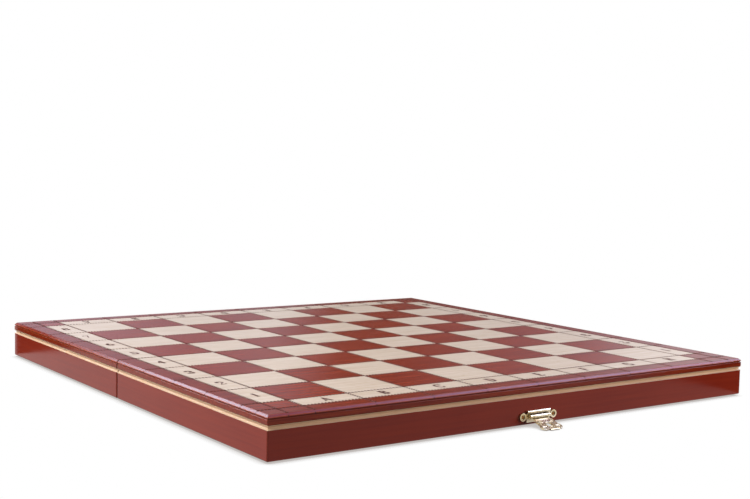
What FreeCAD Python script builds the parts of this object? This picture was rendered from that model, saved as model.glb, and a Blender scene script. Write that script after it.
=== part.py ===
# Folding wooden chess board: two shallow trays with the playing field on their backs, hinged at the fold.
# X runs along the files, Y from the latch side to the far side, Z up.
# The origin is on the fold line, in the middle of the board, at the level of the rims.
import FreeCAD
import Part
import Sketcher
import math
import os
from FreeCAD import Placement, Rotation, Vector

doc = FreeCAD.newDocument("FoldingBoard")

# Driving dimensions, in millimetres and degrees
SQUARES = 8
SIZES = (
    ("square_size", 50, "side of one playing square"),
    ("label_band", 21, "width of the pale band that carries the coordinates"),
    ("border", 16, "width of the stained border outside the band"),
    ("score_width", 1.2, "width of a scored line at the surface"),
    ("score_depth", 0.5, "depth of a scored line"),
    ("panel_thickness", 7, "thickness of the top panel"),
    ("panel_bevel", 1.7, "bevel along the panel's upper outer edge"),
    ("panel_under_bevel", 0.5, "bevel along the panel's lower outer edge"),
    ("quirk_land", 0.5, "height of the flat between the bevel and the quirk"),
    ("quirk_height", 0.9, "height of the quirk, the groove along the panel's outer edge"),
    ("quirk_depth", 0.6, "depth of the quirk"),
    ("wall_height", 20.8, "height of the walls"),
    ("wall_thickness", 10, "thickness of the walls"),
    ("corner_radius", 1, "rounding of the upright corners"),
    ("rim_bevel", 0.6, "bevel along the outer edge of the rim"),
    ("strip_height", 3.2, "height of the pale strip between walls and panel"),
    ("cove_height", 2.7, "height of the cove in the strip's outer face"),
    ("cove_depth", 1.3, "depth of the cove"),
    ("lining_thickness", 1.2, "thickness of the felt lining"),
    ("lining_margin", 1, "gap between the lining's edge and the walls"),
    ("rim_gap", 0.2, "gap between the rims when the board is folded shut"),
    ("hinge_offset", 150, "distance of each hinge from the middle of the fold"),
    ("leaf_width", 30, "length of a hinge along the fold"),
    ("leaf_height", 16, "height of a hinge leaf above the pin"),
    ("leaf_thickness", 0.6, "thickness of the hinge brass"),
    ("leaf_gap", 0.2, "gap between the two leaves of a hinge"),
    ("knuckle_gap", 0.15, "end play between hinge knuckles"),
    ("hinge_clearance", 0.35, "room round the knuckles"),
    ("hinge_pin_diameter", 1.2, "diameter of the hinge pin"),
    ("pin_clearance", 0.05, "radial running clearance of the hinge and latch pins"),
    ("screw_pitch", 10, "spacing of the hinge screws"),
    ("screw_level", 9.5, "height of the hinge screws above the pin"),
    ("screw_head_diameter", 3.4, "diameter of the countersunk screw head"),
    ("screw_shank_diameter", 2, "diameter of the screw shank"),
    ("screw_length", 7, "length of a hinge screw"),
    ("screw_slot", 0.5, "width of the screw slot"),
    ("screw_slot_depth", 0.3, "depth of the screw slot"),
    ("sheet_thickness", 0.8, "thickness of the latch brass"),
    ("latch_level", 6.2, "height of the latch pin above the rim"),
    ("latch_width", 23, "width of the latch base plate"),
    ("latch_height", 9, "height of the latch base plate"),
    ("latch_bead_radius", 1, "radius of the bead along the base plate's top"),
    ("ear_radius", 3.1, "radius of the nail ears"),
    ("ear_neck", 4, "width of the neck of an ear"),
    ("ear_ring_width", 1.2, "width of the raised ring round an ear's nail"),
    ("ear_ring_height", 0.5, "height of the ring above the plate"),
    ("latch_ear_offset", 15.4, "distance of the latch ears from the middle"),
    ("lug_width", 2.2, "width of the lugs that carry the latch pin"),
    ("latch_pin_diameter", 1.4, "diameter of the latch pin"),
    ("latch_pin_overhang", 0.3, "length of the latch pin beyond its lugs"),
    ("hasp_clearance", 0.3, "gap between the shut hasp and the plates behind it"),
    ("hasp_width", 15, "width of the hasp at its barrel"),
    ("hasp_end_play", 0.25, "gap between the hasp barrel and each lug"),
    ("hasp_length", 17.2, "length of the hasp from the pin to the lip"),
    ("hasp_neck", 2.6, "length of the straight neck below the barrel"),
    ("hasp_waist", 10.8, "distance of the hasp's waist from the pin"),
    ("hasp_waist_width", 18.4, "width of the hasp at its waist"),
    ("hasp_upper_radius", 4.1, "radius of the hasp's upper lobes"),
    ("hasp_upper_width", 18.6, "width of the hasp across its upper lobes"),
    ("hasp_lower_radius", 3.6, "radius of the hasp's lower lobes"),
    ("hasp_lower_width", 20.8, "width of the hasp across its lower lobes"),
    ("hasp_hole_level", 10.9, "distance of the knob hole from the pin"),
    ("knob_diameter", 3.4, "diameter of the catch knob"),
    ("knob_clearance", 0.6, "room between the knob and its hole in the hasp"),
    ("knob_height", 2.2, "height of the knob above the catch plate"),
    ("knob_rounding", 0.8, "rounding of the knob's end"),
    ("lip_width", 9, "width of the curled lip"),
    ("lip_radius", 1.2, "inner radius of the lip's curl"),
    ("lip_angle", 75, "angle of the lip's curl"),
    ("hasp_droop", 20, "angle of the hasp below the horizontal when the board lies open"),
    ("catch_width", 14, "width of the catch plate"),
    ("catch_height", 6.4, "height of the catch plate"),
    ("catch_ear_offset", 15, "distance of the catch ears from the middle"),
    ("nail_shank_diameter", 1.4, "diameter of a latch nail"),
    ("nail_length", 8, "length of a latch nail under its head"),
    ("nail_head_diameter", 2.8, "diameter of a nail's domed head"),
    ("nail_head_height", 0.7, "height of a nail's domed head"),
    ("nail_hole_clearance", 0.05, "radial room round a nail or screw in its hole"),
)
sheet = doc.addObject("Spreadsheet::Sheet", "sizes")
for row, (alias, number, meaning) in enumerate(SIZES, start=1):
    sheet.set(f"A{row}", alias)
    sheet.set(f"B{row}", str(number))
    sheet.setAlias(f"B{row}", alias)
    sheet.set(f"C{row}", meaning)
doc.recompute()

# Lengths worked out from the driving dimensions
HALF_FIELD = f"({SQUARES} / 2 * sizes.square_size)"
BAND_EDGE = f"({HALF_FIELD} + sizes.label_band)"
HALF_SIDE = f"({BAND_EDGE} + sizes.border)"
FOLD_FACE = "(sizes.leaf_thickness + sizes.leaf_gap / 2)"
TRAY_DEPTH = f"({HALF_SIDE} - {FOLD_FACE})"
TRAY_MIDDLE = f"(({HALF_SIDE} + {FOLD_FACE}) / 2)"
PANEL_LEVEL = "(sizes.wall_height + sizes.strip_height)"
QUIRK_TOP = "(sizes.panel_thickness - sizes.panel_bevel - sizes.quirk_land)"
QUIRK_INNER, QUIRK_OUTER = f"({HALF_SIDE} - sizes.quirk_depth)", f"({HALF_SIDE} + sizes.quirk_depth)"
HINGE_LEVEL = "(-sizes.rim_gap / 2)"
HINGE_BORE = "(sizes.hinge_pin_diameter / 2 + sizes.pin_clearance)"
KNUCKLE_RADIUS = f"({HINGE_BORE} + sizes.leaf_thickness)"
KNUCKLE_ROOM = f"({KNUCKLE_RADIUS} + sizes.hinge_clearance)"
LATCH_BORE = "(sizes.latch_pin_diameter / 2 + sizes.pin_clearance)"
BARREL_RADIUS = f"({LATCH_BORE} + sizes.sheet_thickness)"
LATCH_REACH = f"(sizes.sheet_thickness + sizes.hasp_clearance + {BARREL_RADIUS})"
CATCH_LEVEL = "(sizes.hasp_hole_level - sizes.latch_level - sizes.rim_gap)"
NAIL_HOLE = "(sizes.nail_shank_diameter / 2 + sizes.nail_hole_clearance)"
SCREW_HOLE = "(sizes.screw_shank_diameter / 2 + sizes.nail_hole_clearance)"


def value(expression):
    return float(sheet.evalExpression(expression))


# Sketches, features and placing
def new_sketch(body, plane):
    sketch = body.newObject("Sketcher::SketchObject", "Sketch")
    support = next(f for f in body.Origin.OriginFeatures if f.Role == plane)
    sketch.AttachmentSupport = [(support, "")]
    sketch.MapMode = "FlatFace"
    return sketch


def constrain(sketch, kind, target, expression):
    """Add a dimension to a sketch and bind it to an expression."""
    index = sketch.addConstraint(Sketcher.Constraint(kind, *target, value(expression)))
    sketch.setExpression(f"Constraints[{index}]", expression)


def fix_point(sketch, geometry, end, point):
    origin = (-1, 1)
    constrain(sketch, "DistanceX", (*origin, geometry, end), point[0])
    constrain(sketch, "DistanceY", (*origin, geometry, end), point[1])


def outline(sketch, corners):
    """Draw a closed outline, counterclockwise. A corner is (x, y), or (x, y, radius) where the side that
    follows it bulges out as an arc, or (x, y, radius, "hollow") where that arc curves in."""
    places = [Vector(value(c[0]), value(c[1]), 0) for c in corners]
    count = len(corners)
    ends = []
    for i, corner in enumerate(corners):
        start, stop = places[i], places[(i + 1) % count]
        if len(corner) == 2:
            geometry = sketch.addGeometry(Part.LineSegment(start, stop))
            ends.append((geometry, 1, 2))
            continue
        hollow = len(corner) == 4
        if hollow:
            start, stop = stop, start
        radius = value(corner[2])
        chord = stop - start
        rise = math.sqrt(max(radius**2 - (chord.Length / 2) ** 2, 0))
        centre = start + chord / 2 + Vector(-chord.y, chord.x, 0) * (rise / chord.Length)
        circle = Part.Circle(centre, Vector(0, 0, 1), radius)
        angles = [math.atan2(p.y - centre.y, p.x - centre.x) for p in (start, stop)]
        if angles[1] < angles[0]:
            angles[1] += 2 * math.pi
        geometry = sketch.addGeometry(Part.ArcOfCircle(circle, *angles))
        constrain(sketch, "Radius", (geometry,), corner[2])
        ends.append((geometry, 2, 1) if hollow else (geometry, 1, 2))
    for i, corner in enumerate(corners):
        before, here = ends[i - 1], ends[i]
        sketch.addConstraint(Sketcher.Constraint("Coincident", before[0], before[2], here[0], here[1]))
        fix_point(sketch, here[0], here[1], corner)
    return sketch


def circles(sketch, centres, radius):
    for centre in centres:
        place = Vector(value(centre[0]), value(centre[1]), 0)
        geometry = sketch.addGeometry(Part.Circle(place, Vector(0, 0, 1), value(radius)))
        constrain(sketch, "Radius", (geometry,), radius)
        fix_point(sketch, geometry, 3, centre)
    return sketch


def pad(body, sketch, length, side="One side", flipped=False):
    feature = body.newObject("PartDesign::Pad", "Pad")
    feature.Profile = sketch
    feature.SideType = side
    feature.Reversed = flipped
    feature.setExpression("Length", length)
    doc.recompute()
    return feature


def pocket(body, sketch, length=None, flipped=False):
    """Cut a sketch to a depth, or right through both ways."""
    before = body.Shape.Volume
    feature = body.newObject("PartDesign::Pocket", "Pocket")
    feature.Profile = sketch
    feature.Reversed = flipped
    if length is None:
        feature.Type = "ThroughAll"
        feature.SideType = "Symmetric"
    else:
        feature.setExpression("Length", length)
    doc.recompute()
    if not body.Shape.Volume < before:
        raise ValueError(f"a pocket in {body.Label} cuts nothing")
    return feature


def edges_where(shape, test):
    return [f"Edge{i}" for i, edge in enumerate(shape.Edges, start=1) if test(edge)]


def break_edges(body, kind, size, test):
    """Chamfer or fillet the edges that pass a test."""
    base = body.Tip
    feature = body.newObject(f"PartDesign::{kind}", kind)
    feature.Base = (base, edges_where(base.Shape, test))
    feature.setExpression("Size" if kind == "Chamfer" else "Radius", size)
    doc.recompute()
    return feature


def lies_at(edge, axis, place):
    """Is the whole edge at one coordinate?"""
    box = edge.BoundBox
    limits = getattr(box, axis + "Min"), getattr(box, axis + "Max")
    return all(abs(limit - place) < 1e-4 for limit in limits)


def place(thing, x="0", y="0", z="0", axis=Vector(0, 0, 1), turn=0):
    thing.Placement = Placement(Vector(), Rotation(axis, turn))
    for name, expression in (("x", x), ("y", y), ("z", z)):
        thing.setExpression(f"Placement.Base.{name}", expression)
    return thing


parts = []


def keep(thing, label):
    thing.Label = label
    parts.append(thing)
    return thing


def new_body(label):
    return keep(doc.addObject("PartDesign::Body", label), label)


def solid(kind, **sizes):
    """A primitive whose properties are bound to expressions."""
    thing = doc.addObject(f"Part::{kind}", kind)
    for name, expression in sizes.items():
        thing.setExpression(name, expression)
    return thing


def fuse(things):
    joined = doc.addObject("Part::MultiFuse", "Fuse")
    joined.Shapes = things
    return joined


def cut(base, tool):
    left = doc.addObject("Part::Cut", "Cut")
    left.Base = base
    left.Tool = tool
    return left


def group(label, things):
    compound = doc.addObject("Part::Compound", label)
    compound.Links = things
    return keep(compound, label)


# Top panel: one board with a bevel and a quirk along its outer edge, scored across its whole top both ways
def quirk(body, plane, start, stop):
    """Groove an outer edge under the bevel, between two places on the sketch's first axis."""
    low = f"({QUIRK_TOP} - sizes.quirk_height)"
    corners = ((start, low), (stop, low), (stop, QUIRK_TOP), (start, QUIRK_TOP))
    pocket(body, outline(new_sketch(body, plane), corners))


def score(body, plane, start, length, count, direction):
    """Cut one V line and repeat it at even steps."""
    top, low = "(sizes.panel_thickness + sizes.score_depth)", "(sizes.panel_thickness - sizes.score_depth)"
    corners = ((start, low), (f"{start} + sizes.score_width", top), (f"{start} - sizes.score_width", top))
    line = pocket(body, outline(new_sketch(body, plane), corners))
    pattern = body.newObject("PartDesign::LinearPattern", "LinearPattern")
    pattern.Originals = [line]
    pattern.Direction = (next(f for f in body.Origin.OriginFeatures if f.Role == direction), [""])
    pattern.setExpression("Length", length)
    pattern.Occurrences = count
    body.Tip = pattern
    doc.recompute()


def panel(label, turn):
    body = new_body(label)
    corners = (
        (f"-{HALF_SIDE}", f"-{HALF_SIDE}"),
        (HALF_SIDE, f"-{HALF_SIDE}"),
        (HALF_SIDE, f"-{FOLD_FACE}"),
        (f"-{HALF_SIDE}", f"-{FOLD_FACE}"),
    )
    pad(body, outline(new_sketch(body, "XY_Plane"), corners), "sizes.panel_thickness")
    half_side = value(HALF_SIDE)

    def outer(edge, level):
        sides = (("X", half_side), ("X", -half_side), ("Y", -half_side))
        return lies_at(edge, "Z", level) and any(lies_at(edge, axis, place) for axis, place in sides)

    top = value("sizes.panel_thickness")
    break_edges(body, "Chamfer", "sizes.panel_bevel", lambda edge: outer(edge, top))
    break_edges(body, "Chamfer", "sizes.panel_under_bevel", lambda edge: outer(edge, 0))
    for plane in ("XZ_Plane", "YZ_Plane"):
        quirk(body, plane, f"-{QUIRK_OUTER}", f"-{QUIRK_INNER}")
    quirk(body, "XZ_Plane", QUIRK_INNER, QUIRK_OUTER)
    score(body, "XZ_Plane", f"-{HALF_FIELD}", f"2 * {HALF_FIELD}", SQUARES + 1, "X_Axis")
    score(body, "XZ_Plane", f"-{BAND_EDGE}", f"2 * {BAND_EDGE}", 2, "X_Axis")
    ranks = SQUARES // 2
    score(body, "YZ_Plane", f"-{HALF_FIELD}", f"{HALF_FIELD} - sizes.square_size", ranks, "Y_Axis")
    score(body, "YZ_Plane", f"-{BAND_EDGE}", "sizes.label_band", 2, "Y_Axis")
    place(body, z=PANEL_LEVEL, turn=turn)


# Walls: mitred rails, outer face on the local X axis, with the upright corners rounded
def wall(label, length, x, y, turn):
    body = new_body(label)
    end = f"({length} / 2)"
    tip = "(sizes.corner_radius * (1 - 1 / sqrt(2)))"
    corners = (
        (f"-{end} + sizes.corner_radius", "0"),
        (f"{end} - sizes.corner_radius", "0", "sizes.corner_radius"),
        (f"{end} - {tip}", tip),
        (f"{end} - sizes.wall_thickness", "sizes.wall_thickness"),
        (f"-{end} + sizes.wall_thickness", "sizes.wall_thickness"),
        (f"-{end} + {tip}", tip, "sizes.corner_radius"),
    )
    pad(body, outline(new_sketch(body, "XY_Plane"), corners), "sizes.wall_height")

    def outer_rim(edge):
        return lies_at(edge, "Z", 0) and lies_at(edge, "Y", 0)

    break_edges(body, "Chamfer", "sizes.rim_bevel", outer_rim)
    return place(body, x, y, turn=turn)


def drill(body, centres, radius, depth):
    """Blind holes in the outer face."""
    pocket(body, circles(new_sketch(body, "XZ_Plane"), centres, radius), depth)


# Strips: pale rails on the walls, with a cove along the outer face
def strip(label, length, x, y, turn, left_mitre, right_mitre, cove=True):
    body = new_body(label)
    end = f"({length} / 2)"
    corners = (
        (f"-{end}", "0"),
        (end, "0"),
        (f"{end} - {right_mitre}", "sizes.wall_thickness"),
        (f"-{end} + {left_mitre}", "sizes.wall_thickness"),
    )
    pad(body, outline(new_sketch(body, "XY_Plane"), corners), "sizes.strip_height")
    if cove:
        radius = "(((sizes.cove_height / 2) ^ 2 + sizes.cove_depth ^ 2) / (2 * sizes.cove_depth))"
        centre = (f"sizes.cove_depth - {radius}", "sizes.strip_height / 2")
        pocket(body, circles(new_sketch(body, "YZ_Plane"), (centre,), radius))
    place(body, x, y, "sizes.wall_height", turn=turn)


HINGES = {"left": "-sizes.hinge_offset", "right": "sizes.hinge_offset"}
SCREW_STEPS = (-1, 0, 1)
SCREW_LEVEL = f"({HINGE_LEVEL} + sizes.screw_level)"
SCREW_ROW = [f"{x} + {step} * sizes.screw_pitch" for x in HINGES.values() for step in SCREW_STEPS]
SIDES = {"left": ("-", -90), "right": ("", 90)}
TRAYS = {"front": ("-", 0), "rear": ("", 180)}
NAIL_PLACES = {
    "front": ("sizes.latch_ear_offset", "sizes.latch_level"),
    "rear": ("sizes.catch_ear_offset", CATCH_LEVEL),
}
SQUARE_END, MITRE = "0", "sizes.wall_thickness"

for tray, (sign, turn) in TRAYS.items():
    full = f"(2 * {HALF_SIDE})"
    far_turn = 180 - turn
    panel(f"{tray}_top_panel", turn)
    end_wall = wall(f"{tray}_end_wall", full, "0", f"{sign}{HALF_SIDE}", turn)
    across, level = NAIL_PLACES[tray]
    nail_places = ((f"-{across}", level), (across, level))
    drill(end_wall, nail_places, NAIL_HOLE, "sizes.nail_length - sizes.sheet_thickness")
    for side, (side_sign, side_turn) in SIDES.items():
        x, y = f"{side_sign}{HALF_SIDE}", f"{sign}{TRAY_MIDDLE}"
        wall(f"{tray}_{side}_wall", TRAY_DEPTH, x, y, side_turn)
    fold_wall = wall(f"{tray}_fold_wall", full, "0", f"{sign}{FOLD_FACE}", far_turn)
    notch_half = "(sizes.leaf_width / 2 + sizes.hinge_clearance)"
    notch_low, notch_top = "-sizes.hinge_clearance", f"({HINGE_LEVEL} + {KNUCKLE_ROOM})"
    for hinge in HINGES.values():
        left, right = f"{hinge} - {notch_half}", f"{hinge} + {notch_half}"
        notch = ((left, notch_low), (right, notch_low), (right, notch_top), (left, notch_top))
        pocket(fold_wall, outline(new_sketch(fold_wall, "XZ_Plane"), notch), f"{KNUCKLE_ROOM} - {FOLD_FACE}")
    screw_places = [(x, SCREW_LEVEL) for x in SCREW_ROW]
    drill(fold_wall, screw_places, SCREW_HOLE, "sizes.screw_length - sizes.leaf_thickness")

    strip(f"{tray}_end_strip", full, "0", f"{sign}{HALF_SIDE}", turn, MITRE, MITRE)
    for side, (side_sign, side_turn) in SIDES.items():
        outer_end_first = (side == "right") == (tray == "front")
        mitres = (MITRE, SQUARE_END) if outer_end_first else (SQUARE_END, MITRE)
        x, y = f"{side_sign}{HALF_SIDE}", f"{sign}{TRAY_MIDDLE}"
        strip(f"{tray}_{side}_strip", TRAY_DEPTH, x, y, side_turn, *mitres)
    inside = f"(2 * ({HALF_SIDE} - sizes.wall_thickness))"
    fold_face = f"{sign}{FOLD_FACE}"
    strip(f"{tray}_fold_strip", inside, "0", fold_face, far_turn, SQUARE_END, SQUARE_END, cove=False)

    # Felt lining, glued under the panel between the walls
    inset = "(sizes.wall_thickness + sizes.lining_margin)"
    length, width = f"(2 * ({HALF_SIDE} - {inset}))", f"({TRAY_DEPTH} - 2 * {inset})"
    lining = solid("Box", Length=length, Width=width, Height="sizes.lining_thickness")
    keep(lining, f"{tray}_lining")
    low_side = f"-{HALF_SIDE} + {inset}" if tray == "front" else f"{FOLD_FACE} + {inset}"
    place(lining, f"-{length} / 2", low_side, f"{PANEL_LEVEL} - sizes.lining_thickness")

# Butt hinges: the front leaf has the two outer knuckles and holds the pin, the rear leaf has the middle one
ALONG_X = {"axis": Vector(0, 1, 0), "turn": 90}
FORWARD = {"axis": Vector(1, 0, 0), "turn": 90}
BACKWARD = {"axis": Vector(1, 0, 0), "turn": -90}
LEAF_END = "sizes.leaf_width / 2"
KNUCKLE_PLAY = "sizes.knuckle_gap / 2"
KNUCKLE_PART = "sizes.leaf_width / 6"
KNUCKLE_SPANS = {
    "front": (
        (f"-{LEAF_END}", f"-{KNUCKLE_PART} - {KNUCKLE_PLAY}"),
        (f"{KNUCKLE_PART} + {KNUCKLE_PLAY}", LEAF_END),
    ),
    "rear": ((f"-{KNUCKLE_PART} + {KNUCKLE_PLAY}", f"{KNUCKLE_PART} - {KNUCKLE_PLAY}"),),
}
HEAD_RADIUS, SHANK_RADIUS = "sizes.screw_head_diameter / 2", "sizes.screw_shank_diameter / 2"


def hinge_leaf(label, tray, x):
    back = f"-{FOLD_FACE}" if tray == "front" else "sizes.leaf_gap / 2"
    height = f"sizes.leaf_height - {KNUCKLE_ROOM}"
    plate = solid("Box", Length="sizes.leaf_width", Width="sizes.leaf_thickness", Height=height)
    pieces = [place(plate, f"-{LEAF_END}", back, KNUCKLE_ROOM)]
    for start, stop in KNUCKLE_SPANS[tray]:
        length = f"({stop}) - ({start})"
        pieces.append(place(solid("Cylinder", Radius=KNUCKLE_RADIUS, Height=length), start, **ALONG_X))
        tab = solid("Box", Length=length, Width="sizes.leaf_thickness", Height=KNUCKLE_ROOM)
        pieces.append(place(tab, start, back))
    bore = solid("Cylinder", Radius=HINGE_BORE, Height="sizes.leaf_width")
    tools = [place(bore, f"-{LEAF_END}", **ALONG_X)]
    inward, face = (FORWARD, "-sizes.leaf_gap / 2") if tray == "front" else (BACKWARD, "sizes.leaf_gap / 2")
    for step in SCREW_STEPS:
        sink = solid("Cone", Radius1=HEAD_RADIUS, Radius2=SHANK_RADIUS, Height="sizes.leaf_thickness")
        tools.append(place(sink, f"{step} * sizes.screw_pitch", face, "sizes.screw_level", **inward))
    place(keep(cut(fuse(pieces), fuse(tools)), label), x, z=HINGE_LEVEL)


def hinge_screw(tray, x):
    head = solid("Cone", Radius1=HEAD_RADIUS, Radius2=SHANK_RADIUS, Height="sizes.leaf_thickness")
    shank = solid("Cylinder", Radius=SHANK_RADIUS, Height="sizes.screw_length")
    length, height = "sizes.screw_head_diameter", "2 * sizes.screw_slot_depth"
    slot = solid("Box", Length=length, Width="sizes.screw_slot", Height=height)
    place(slot, f"-{length} / 2", "-sizes.screw_slot / 2", "-sizes.screw_slot_depth")
    screw = cut(fuse([head, shank]), slot)
    inward, face = (FORWARD, "-sizes.leaf_gap / 2") if tray == "front" else (BACKWARD, "sizes.leaf_gap / 2")
    return place(screw, x, face, SCREW_LEVEL, **inward)


for side, x in HINGES.items():
    for tray in TRAYS:
        hinge_leaf(f"{side}_hinge_{tray}_leaf", tray, x)
    pin = solid("Cylinder", Radius="sizes.hinge_pin_diameter / 2", Height="sizes.leaf_width")
    place(keep(pin, f"{side}_hinge_pin"), f"{x} - {LEAF_END}", z=HINGE_LEVEL, **ALONG_X)
for tray in TRAYS:
    group(f"{tray}_hinge_screws", [hinge_screw(tray, x) for x in SCREW_ROW])


# Latch and catch: pressed brass plates, each nailed to its end wall through two round ears
def eared_plate(body, width, height, ear_offset, level):
    """A plate on the local XZ plane that faces -Y, with a ringed nail ear on each side."""
    half, low, high = f"({width} / 2)", f"{level} - {height} / 2", f"{level} + {height} / 2"
    neck_low, neck_high = f"{level} - sizes.ear_neck / 2", f"{level} + sizes.ear_neck / 2"
    corners = (
        (f"-{half}", low), (half, low), (half, neck_low), (ear_offset, neck_low), (ear_offset, neck_high),
        (half, neck_high), (half, high), (f"-{half}", high), (f"-{half}", neck_high),
        (f"-{ear_offset}", neck_high), (f"-{ear_offset}", neck_low), (f"-{half}", neck_low),
    )
    ears = ((f"-{ear_offset}", level), (ear_offset, level))
    pad(body, outline(new_sketch(body, "XZ_Plane"), corners), "sizes.sheet_thickness")
    pad(body, circles(new_sketch(body, "XZ_Plane"), ears, "sizes.ear_radius"), "sizes.sheet_thickness")
    rings = circles(new_sketch(body, "XZ_Plane"), ears, "sizes.ear_radius")
    circles(rings, ears, "sizes.ear_radius - sizes.ear_ring_width")
    pad(body, rings, "sizes.sheet_thickness + sizes.ear_ring_height")
    pocket(body, circles(new_sketch(body, "XZ_Plane"), ears, NAIL_HOLE))


latch = new_body("latch_base")
eared_plate(latch, "sizes.latch_width", "sizes.latch_height", "sizes.latch_ear_offset", "sizes.latch_level")
LUG_INSIDE = "(sizes.hasp_width + 2 * sizes.hasp_end_play)"
LUG_OUTSIDE = f"({LUG_INSIDE} + 2 * sizes.lug_width)"
LATCH_AXIS = (f"-{LATCH_REACH}", "sizes.latch_level")
lug_low, lug_high = f"sizes.latch_level - {BARREL_RADIUS}", f"sizes.latch_level + {BARREL_RADIUS}"
lug = (
    (f"-{LATCH_REACH}", lug_high, BARREL_RADIUS),
    (f"-{LATCH_REACH}", lug_low),
    ("0", lug_low),
    ("0", lug_high),
)
pad(latch, outline(new_sketch(latch, "YZ_Plane"), lug), LUG_OUTSIDE, "Symmetric")
inside_half = f"({LUG_INSIDE} / 2)"
lug_reach = f"(-{LATCH_REACH} - {BARREL_RADIUS} - sizes.hasp_clearance)"
between_lugs = (
    (f"-{inside_half}", lug_reach),
    (inside_half, lug_reach),
    (inside_half, "-sizes.sheet_thickness"),
    (f"-{inside_half}", "-sizes.sheet_thickness"),
)
pocket(latch, outline(new_sketch(latch, "XY_Plane"), between_lugs))
pocket(latch, circles(new_sketch(latch, "YZ_Plane"), (LATCH_AXIS,), LATCH_BORE))
bead_level = "sizes.latch_level + sizes.latch_height / 2 - sizes.latch_bead_radius"
bead_place = (("-sizes.sheet_thickness / 2 - sizes.latch_bead_radius", bead_level),)
bead = circles(new_sketch(latch, "YZ_Plane"), bead_place, "sizes.latch_bead_radius")
pad(latch, bead, "sizes.latch_width", "Symmetric")
place(latch, y=f"-{HALF_SIDE}")

latch_pin_length = f"({LUG_OUTSIDE} + 2 * sizes.latch_pin_overhang)"
latch_pin = solid("Cylinder", Radius="sizes.latch_pin_diameter / 2", Height=latch_pin_length)
keep(latch_pin, "latch_pin")
latch_line = f"-{HALF_SIDE} - {LATCH_REACH}"
place(latch_pin, f"-{latch_pin_length} / 2", latch_line, "sizes.latch_level", **ALONG_X)

# Hasp: a rolled barrel, a plate with four round lobes and the knob hole, and a lip curled away from the wall.
# It is drawn hanging shut, with its pin on the local X axis, and swung out to where it lies on the table.
hasp = new_body("hasp")


def hasp_sketch():
    """A sketch on the back of the plate."""
    sketch = new_sketch(hasp, "XZ_Plane")
    sketch.setExpression("AttachmentOffset.Base.z", f"-{BARREL_RADIUS}")
    return sketch


half_hasp, half_lip = "(sizes.hasp_width / 2)", "(sizes.lip_width / 2)"
half_waist = "(sizes.hasp_waist_width / 2)"
hasp_plate = (
    (f"-{half_lip}", "-sizes.hasp_length"),
    (half_lip, "-sizes.hasp_length"),
    (half_waist, "-sizes.hasp_waist"),
    (half_hasp, "-sizes.hasp_neck"),
    (half_hasp, "0"),
    (f"-{half_hasp}", "0"),
    (f"-{half_hasp}", "-sizes.hasp_neck"),
    (f"-{half_waist}", "-sizes.hasp_waist"),
)
pad(hasp, outline(hasp_sketch(), hasp_plate), "sizes.sheet_thickness")
LOBES = {"upper": ("sizes.hasp_neck", "sizes.hasp_waist"), "lower": ("sizes.hasp_waist", "sizes.hasp_length")}
for lobe, (start, stop) in LOBES.items():
    radius = f"sizes.hasp_{lobe}_radius"
    across, level = f"(sizes.hasp_{lobe}_width / 2 - {radius})", f"-({start} + {stop}) / 2"
    for sign in ("-", ""):
        disc = circles(hasp_sketch(), ((f"{sign}{across}", level),), radius)
        pad(hasp, disc, "sizes.sheet_thickness")
AXIS = (("0", "0"),)
pad(hasp, circles(new_sketch(hasp, "YZ_Plane"), AXIS, BARREL_RADIUS), "sizes.hasp_width", "Symmetric")
pocket(hasp, circles(new_sketch(hasp, "YZ_Plane"), AXIS, LATCH_BORE))
knob_hole = (("0", "-sizes.hasp_hole_level"),)
hole_radius = "sizes.knob_diameter / 2 + sizes.knob_clearance"
pocket(hasp, circles(new_sketch(hasp, "XZ_Plane"), knob_hole, hole_radius))
inner, outer = "sizes.lip_radius", "(sizes.lip_radius + sizes.sheet_thickness)"
curl_y, curl_z = f"({BARREL_RADIUS} - {outer})", "(-sizes.hasp_length)"
turn_y, turn_z = "cos(sizes.lip_angle * 1 deg)", "sin(sizes.lip_angle * 1 deg)"
lip = (
    (f"{curl_y} + {outer} * {turn_y}", f"{curl_z} - {outer} * {turn_z}", outer),
    (f"{curl_y} + {outer}", curl_z),
    (f"{curl_y} + {inner}", curl_z, inner, "hollow"),
    (f"{curl_y} + {inner} * {turn_y}", f"{curl_z} - {inner} * {turn_z}"),
)
pad(hasp, outline(new_sketch(hasp, "YZ_Plane"), lip), "sizes.lip_width", "Symmetric")
LEVEL_TURN = 90
place(hasp, y=latch_line, z="sizes.latch_level", axis=Vector(1, 0, 0), turn=1)
hasp.setExpression("Placement.Rotation.Angle", f"(sizes.hasp_droop - {LEVEL_TURN}) * 1 deg")

catch = new_body("catch_plate")
eared_plate(catch, "sizes.catch_width", "sizes.catch_height", "sizes.catch_ear_offset", CATCH_LEVEL)
knob = circles(new_sketch(catch, "XZ_Plane"), (("0", CATCH_LEVEL),), "sizes.knob_diameter / 2")
knob_reach = "(sizes.sheet_thickness + sizes.knob_height)"
pad(catch, knob, knob_reach)
break_edges(catch, "Fillet", "sizes.knob_rounding", lambda edge: lies_at(edge, "Y", -value(knob_reach)))
place(catch, y=HALF_SIDE, turn=180)


def nail(x, y, z, facing):
    """A nail with a domed head, whose underside is at the given place."""
    half, rise = "(sizes.nail_head_diameter / 2)", "sizes.nail_head_height"
    radius = f"(({half} ^ 2 + {rise} ^ 2) / (2 * {rise}))"
    sunk = f"({radius} - {rise})"
    dome = place(solid("Sphere", Radius=radius, Angle1=f"asin({sunk} / {radius})"), z=f"-{sunk}")
    shank = solid("Cylinder", Radius="sizes.nail_shank_diameter / 2", Height="sizes.nail_length")
    return place(fuse([dome, place(shank, z="-sizes.nail_length")]), x, y, z, **facing)


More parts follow.
